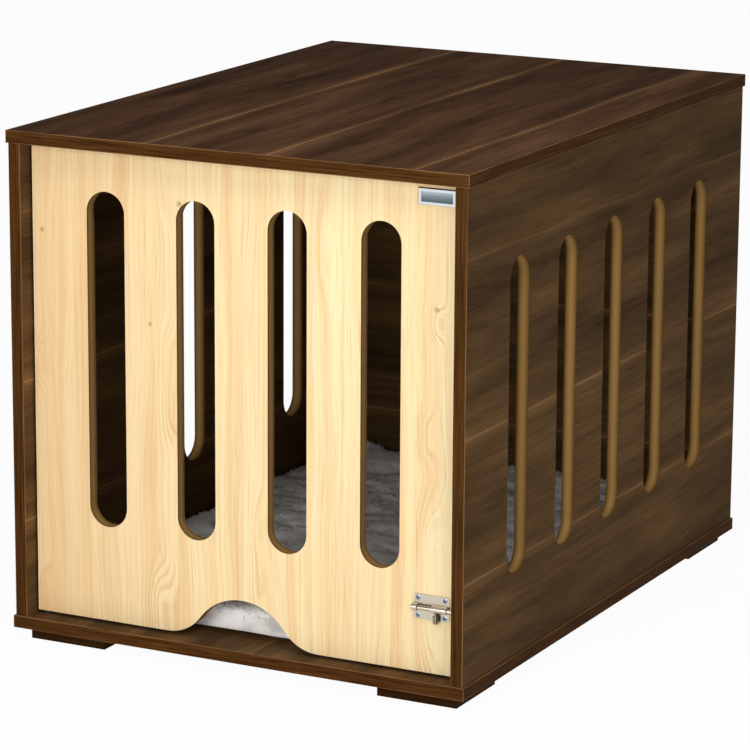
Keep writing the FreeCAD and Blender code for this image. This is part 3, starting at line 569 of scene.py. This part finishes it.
def metal(name, colour, dull, roughness, grit_mm, relief_strength):
    """A plated or cast metal; dull is the painted shade colour of its crevices and grit_mm its surface
    grain.
    """
    material, tree, shader = new_material(name)
    metres = add_node(tree, COORDS, out="Object")
    grit = {"Vector": metres, "Scale": 1 / (grit_mm * MM), "Detail": 3.0, "Roughness": 0.6}
    grit = add_node(tree, NOISE, grit, 0)
    # Painted shade: ambient occlusion darkens the colour towards dull where the surface is shut in.
    unshaded_share = add_node(tree, "ShaderNodeAmbientOcclusion", {"Distance": CREVICE_MM * MM}, "AO")
    unshaded_share = add_node(tree, RANGE, {0: unshaded_share, 1: 0.25, 2: 0.95}, 0)
    tone = stain(tree, unshaded_share, linear(dull), linear(colour))
    tree.links.new(tone, shader.inputs["Base Color"])
    shader.inputs["Metallic"].default_value = 1.0
    low, high = roughness
    rough = add_node(tree, RANGE, {0: grit, 1: 0.3, 2: 0.7, 3: low, 4: high}, 0)
    tree.links.new(rough, shader.inputs["Roughness"])
    relief = {"Strength": relief_strength, "Distance": 0.1 * MM, "Height": grit}
    tree.links.new(add_node(tree, BUMP, relief, 0), shader.inputs["Normal"])
    return material


# The second colour of each metal is the painted shade in its crevices.
satin_nickel = metal("satin_nickel_plate", "#cdc3b2", "#4a4234", (0.26, 0.36), 0.8, 0.15)
bright_nickel = metal("bright_nickel_plate", "#cbbfa8", "#2e2517", (0.08, 0.16), 1.5, 0.05)
# The knob is drawn darker than the rod: a painted reflection of the dark room it faces.
knob_nickel = metal("knob_nickel_plate_painted_dark", "#8f8574", "#2c241a", (0.12, 0.22), 1.5, 0.05)
zinc_plate = metal("zinc_plated_steel", "#8c98a2", "#111417", (0.22, 0.34), 1.0, 0.1)
zinc_casting = metal("raw_zinc_casting", "#8e9093", "#4c4d4f", (0.45, 0.6), 1.2, 0.25)
chrome = metal("polished_chrome", "#dde1e3", "#3a4046", (0.05, 0.1), 3.0, 0.02)
dress("foot_screws frame_screws cam_bolts door_stop_screws bolt_screws", zinc_plate)
dress("lower_pivot_pin upper_pivot_pin", zinc_plate)
dress("cam_locks", zinc_casting)
dress("bolt_plate", satin_nickel)
dress("bolt_rod", bright_nickel)
dress("bolt_knob", knob_nickel)
dress("badge_bezel", chrome)
print("metal dressed")

# %% [markdown]
# ## Nylon, beech and the badge's bare field
# The bushes and the washer are moulded black nylon, a soft sheen with hardly any colour. The
# dowels are turned beech with fluted, dry sides. The little frame at the door's corner is
# chromed and holds a blue grey lacquered field, left bare, its colour darker towards the bottom
# and paler towards the top.

# %% Small solids


def solid(name, stops, grain_mm, roughness):
    """A solid whose colour wanders a little; grain_mm is how far in X, Y and Z."""
    material, tree, shader = new_material(name)
    metres = add_node(tree, COORDS, out="Object")
    scale = tuple(1 / (length * MM) for length in grain_mm)
    sized = add_node(tree, VECTOR, {0: metres, 1: scale}, 0, operation="MULTIPLY")
    cloud = add_node(tree, NOISE, {"Vector": sized, "Scale": 1.0, "Detail": 3.0}, 0)
    tree.links.new(add_node(tree, RAMP, {0: cloud}, 0, stops), shader.inputs["Base Color"])
    shader.inputs["Roughness"].default_value = roughness
    return material


nylon = solid("moulded_black_nylon", [(0.3, "#17130f"), (0.7, "#221c17")], (4, 4, 4), 0.5)
beech = solid("turned_beech", [(0.3, "#c39a66"), (0.7, "#dcb684")], (1.5, 1.5, 20), 0.7)
dress("pivot_washer door_bushes", nylon)
dress("wood_dowels", beech)

field, tree, shader = new_material("blue_grey_lacquer")
z = board_axes(tree, "X", "Z")[1]
low_z, high_z = (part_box("badge_plate")[i][2] / MM for i in (0, 1))
height = add_node(tree, RANGE, {0: z, 1: low_z, 2: high_z}, 0)
# The field's colour runs from darker at the bottom to paler at the top.
field_stops = [(0.1, "#46545f"), (0.55, "#6f818b"), (0.9, "#a5b1b6")]
tree.links.new(add_node(tree, RAMP, {0: height}, 0, field_stops), shader.inputs["Base Color"])
shader.inputs["Roughness"].default_value = 0.25
dress("badge_plate", field)
print("small parts dressed")

# %% [markdown]
# ## Plush cushion
# The cushion is a slack pad in a long white plush cover that fills the floor of the crate. A
# pad is two panels of cloth sewn at their rim and filled, so cloth simulation gives its crown
# and its soft rim better than moved points would: the CAD solid is shrunk a little, remeshed
# into even squares and blown up from inside. The filling has settled unevenly, and the cover has
# rucked into shallow waves across the crate, so three sizes of noise come after it.

# %% Cushion body
VOXEL_MM = 8.0
SLACK_MM = (7.0, 5.0, 3.5)  # how far each side draws in before the filling swells it
SWELL_LIMIT_MM = 7.0
WELD_MM = 0.001


def take_modifiers(obj):
    """Works the modifiers into a plain mesh and removes them."""
    evaluated = obj.evaluated_get(bpy.context.evaluated_depsgraph_get())
    made = bpy.data.meshes.new_from_object(evaluated)
    obj.modifiers.clear()
    obj.data = made


def points_of(mesh):
    """A mesh's points as an array with a row for each."""
    flat = np.zeros(len(mesh.vertices) * 3, np.float32)
    mesh.vertices.foreach_get("co", flat)
    return flat.reshape(-1, 3).astype(float)


def set_points(mesh, points):
    """Moves a mesh's points to the rows of an array."""
    mesh.vertices.foreach_set("co", points.astype(np.float32).ravel())
    mesh.update()


cushion_low, cushion_high = (np.array(v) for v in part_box("cushion"))
middle = (cushion_low + cushion_high) / 2
size = cushion_high - cushion_low
pad = bpy.data.objects.new("plush_cushion", nodes["cushion"].data.copy())
scene.collection.objects.link(pad)
bm = bmesh.new()
bm.from_mesh(pad.data)
bmesh.ops.remove_doubles(bm, verts=bm.verts, dist=WELD_MM * MM)
bm.to_mesh(pad.data)
bm.free()
squeeze = 1 - 2 * np.array(SLACK_MM) * MM / size
set_points(pad.data, middle + (points_of(pad.data) - middle) * squeeze)
remesh = pad.modifiers.new("even_squares", "REMESH")
remesh.mode, remesh.voxel_size = "VOXEL", VOXEL_MM * MM
take_modifiers(pad)
before = points_of(pad.data)
print("cushion squares:", len(pad.data.polygons))

# %% Cushion filling
PRESSURE, LAST_FRAME = 4, 20
cloth = pad.modifiers.new("filling", "CLOTH")
cloth.settings.quality = 5
cloth.settings.use_pressure = True
cloth.settings.uniform_pressure_force = PRESSURE
cloth.settings.effector_weights.gravity = 0
cloth.point_cache.frame_start, cloth.point_cache.frame_end = 1, LAST_FRAME
for step in range(1, LAST_FRAME + 1):
    scene.frame_set(step)
take_modifiers(pad)
scene.frame_set(1)
move = points_of(pad.data) - before
reach = np.linalg.norm(move, axis=1, keepdims=True)
kept = np.minimum(1.0, SWELL_LIMIT_MM * MM / np.maximum(reach, 1e-9))
set_points(pad.data, before + move * kept)
smooth = pad.modifiers.new("finer", "SUBSURF")
smooth.levels = smooth.render_levels = 1
take_modifiers(pad)
print("swelled by up to mm:", round(float(reach.max()) / MM, 1), "kept to", SWELL_LIMIT_MM)

# %% Lumps and rucks
LUMPS = (  # height, size along X and along Y, seed, in mm
    (13.0, (60, 38), 5), (4.0, (34, 16), 9), (2.4, (13, 10), 13),
)
SETTLE_MM = 45.0  # the lower rim spreads until it meets the box below, as a filled pad settles
RIM_MM = ((-268, -345, 30.3), (268, 376, 81))
TOP_DEPTH, LOW_START, LOW_DEPTH = 0.3, 0.35, 0.35  # shares of the pad's height
after = points_of(pad.data)
out = after - middle
out[:, 2] = 0
out /= np.maximum(np.linalg.norm(out, axis=1, keepdims=True), 1e-6)
top_share = np.clip((after[:, 2] - middle[2]) / (TOP_DEPTH * size[2]), 0, 1)
rim_share = np.clip(10 * np.abs(after[:, :2] - middle[:2]) / (size[:2] / 2) - 9, 0, 1).max(1)
for height, (along_x, along_y), seed in LUMPS:
    grid = after / (np.array((along_x, along_y, along_x)) * MM) + seed
    lump = height * MM * np.array([noise.noise(Vector(p)) for p in grid])
    after[:, 2] += lump * top_share
    after += out * (lump * rim_share)[:, None]
low_share = middle[2] + LOW_START * size[2] - after[:, 2]
low_share = np.clip(low_share / (LOW_DEPTH * size[2]), 0, 1)
after += out * (SETTLE_MM * MM * low_share * rim_share)[:, None]
set_points(pad.data, np.clip(after, np.array(RIM_MM[0]) * MM, np.array(RIM_MM[1]) * MM))
for polygon in pad.data.polygons:
    polygon.use_smooth = True
print("cushion mesh:", len(pad.data.polygons), "faces")

# %% [markdown]
# ## Plush cover
# Plush is a knitted back with polyester fibres standing out of it. It scatters light inside the
# pile, so it has no highlight, its shadows are soft and its rim glows. A rough shader with a
# little sheen gives that, and the colour wanders from white to a soft grey in clumps and rows:
# painted shade, where the pile and the rucks turn from the light. The pile itself is a Geometry
# Nodes tree: tufts of fibre lie on the surface, combed at random, so the outline is fluffy and
# not only the shading. Real fibres are 0.02 mm thick and can't show in the render, so each tuft
# is drawn as one tapered lock a few millimetres wide.

# %% Plush material
RUCK_SHADE_MM = (34.0, 14.0, 20.0)
plush, tree, shader = new_material("white_plush_pile")
metres = add_node(tree, COORDS, out="Object")
scale = tuple(1 / (length * MM) for length in RUCK_SHADE_MM)
rucks = add_node(tree, VECTOR, {0: metres, 1: scale}, 0, operation="MULTIPLY")
rucks = add_node(tree, NOISE, {"Vector": rucks, "Scale": 1.0, "Detail": 2.0}, 0)
# Painted shade: the colour greys in clumps and rows where the pile and the rucks turn from the light.
whites = [(0.32, "#dfd9d4"), (0.46, "#f9f5f1"), (0.56, "#fffdfb")]
tree.links.new(add_node(tree, RAMP, {0: rucks}, 0, whites), shader.inputs["Base Color"])
shader.inputs["Roughness"].default_value = 1.0
shader.inputs["Specular IOR Level"].default_value = 0.05
shader.inputs["Sheen Weight"].default_value = 0.4
shader.inputs["Sheen Roughness"].default_value = 0.6
pad.data.materials.clear()
pad.data.materials.append(plush)
print("plush ready")

# %% Pile tree
BELOW, OWN_SHARE = "normal_below", 0.3  # the pad's normal at a tuft, and how much of its own shows
LEAST_UP = 0.15  # tufts grow where the pad's normal points up by more than this


def pile_tree():
    """Tufts on every face that looks up; the rim and the underside stay smooth."""
    tree = bpy.data.node_groups.new("plush_pile", "GeometryNodeTree")
    tree.interface.new_socket("Cushion", in_out="INPUT", socket_type="NodeSocketGeometry")
    for name in ("Tufts per m2", "Tuft Length", "Tuft Radius", "Lean"):
        tree.interface.new_socket(name, in_out="INPUT", socket_type="NodeSocketFloat")
    tree.interface.new_socket("Pile", in_out="OUTPUT", socket_type="NodeSocketGeometry")
    given = add_node(tree, "NodeGroupInput").outputs
    normal = add_node(tree, "GeometryNodeInputNormal", out=0)
    up = add_node(tree, SPLIT, {0: normal}, "Z")
    outside = add_node(tree, "FunctionNodeCompare", {0: up, 1: LEAST_UP}, 0, operation="GREATER_THAN")
    where = {"Mesh": given["Cushion"], "Selection": outside, "Seed": 7}
    where["Density"] = given["Tufts per m2"]
    spread = add_node(tree, "GeometryNodeDistributePointsOnFaces", where)
    cone = {"Vertices": 3, "Side Segments": 1, "Radius Top": 0.0}
    cone.update({"Radius Bottom": given["Tuft Radius"], "Depth": given["Tuft Length"]})
    tuft = add_node(tree, "GeometryNodeMeshCone", cone, "Mesh")
    tuft = add_node(tree, "GeometryNodeSetShadeSmooth", {"Geometry": tuft, "Shade Smooth": True}, 0)
    upright = add_node(tree, MATH, {0: given["Lean"], 1: 0.7}, 0, operation="MULTIPLY")
    least = add_node(tree, JOIN, {0: upright}, 0)
    most = add_node(tree, JOIN, {0: given["Lean"], 2: 2 * math.pi}, 0)
    turn = {"Min": least, "Max": most, "Seed": 3}
    turn = add_node(tree, "FunctionNodeRandomValue", turn, 0, data_type="FLOAT_VECTOR")
    turned = {0: spread.outputs["Rotation"], 1: turn}
    turned = add_node(tree, "FunctionNodeRotateRotation", turned, 0, rotation_space="LOCAL")
    grow = {2: 0.6, 3: 1.2, "Seed": 5}
    grow = add_node(tree, "FunctionNodeRandomValue", grow, 1, data_type="FLOAT")
    below = {"Geometry": spread.outputs["Points"], "Name": BELOW, "Value": spread.outputs["Normal"]}
    points = add_node(tree, "GeometryNodeStoreNamedAttribute", below, 0, data_type="FLOAT_VECTOR")
    stand = {"Points": points, "Instance": tuft, "Rotation": turned, "Scale": grow}
    stood = add_node(tree, "GeometryNodeInstanceOnPoints", stand, 0)
    real = add_node(tree, "GeometryNodeRealizeInstances", {0: stood}, 0)
    below = {"Name": BELOW}
    below = add_node(tree, "GeometryNodeInputNamedAttribute", below, 0, data_type="FLOAT_VECTOR")
    own = add_node(tree, "GeometryNodeInputNormal", out=0)
    soft = add_node(tree, MIX, {0: OWN_SHARE, 4: below, 5: own}, 1, data_type="VECTOR")
    real = {"Mesh": real, "Custom Normal": soft}
    real = add_node(tree, "GeometryNodeSetMeshNormal", real, 0, mode="FREE", domain="CORNER")
    painted = add_node(tree, "GeometryNodeSetMaterial", {"Geometry": real, "Material": plush}, 0)
    add_node(tree, "NodeGroupOutput", {"Pile": painted})
    return tree


def grown(name, source, tree, sizes):
    """A new object whose plain mesh is what the tree makes from a copy of source."""
    obj = bpy.data.objects.new(name, source.copy())
    scene.collection.objects.link(obj)
    grower = obj.modifiers.new("grower", "NODES")
    grower.node_group = tree
    for item in tree.interface.items_tree:
        if item.in_out == "INPUT" and item.name in sizes:
            grower[item.identifier] = sizes[item.name]
    take_modifiers(obj)
    return obj


print("pile tree ready")

# %% Pile
PILE = {"Tufts per m2": 85000.0, "Tuft Length": 9 * MM, "Tuft Radius": 1.3 * MM, "Lean": 1.4}
pile = grown("plush_cushion_pile", pad.data, pile_tree(), PILE)
PILE_BOX_MM = ((-274, -349, 30.2), (274, 381, 84))
pile_low, pile_high = (np.array(corner) * MM for corner in PILE_BOX_MM)
set_points(pile.data, np.clip(points_of(pile.data), pile_low, pile_high))
for piece in (pad, pile):
    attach(piece, "cabinet")
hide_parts("cushion")
print("pile faces:", len(pile.data.polygons), "on a pad of", len(pad.data.polygons))
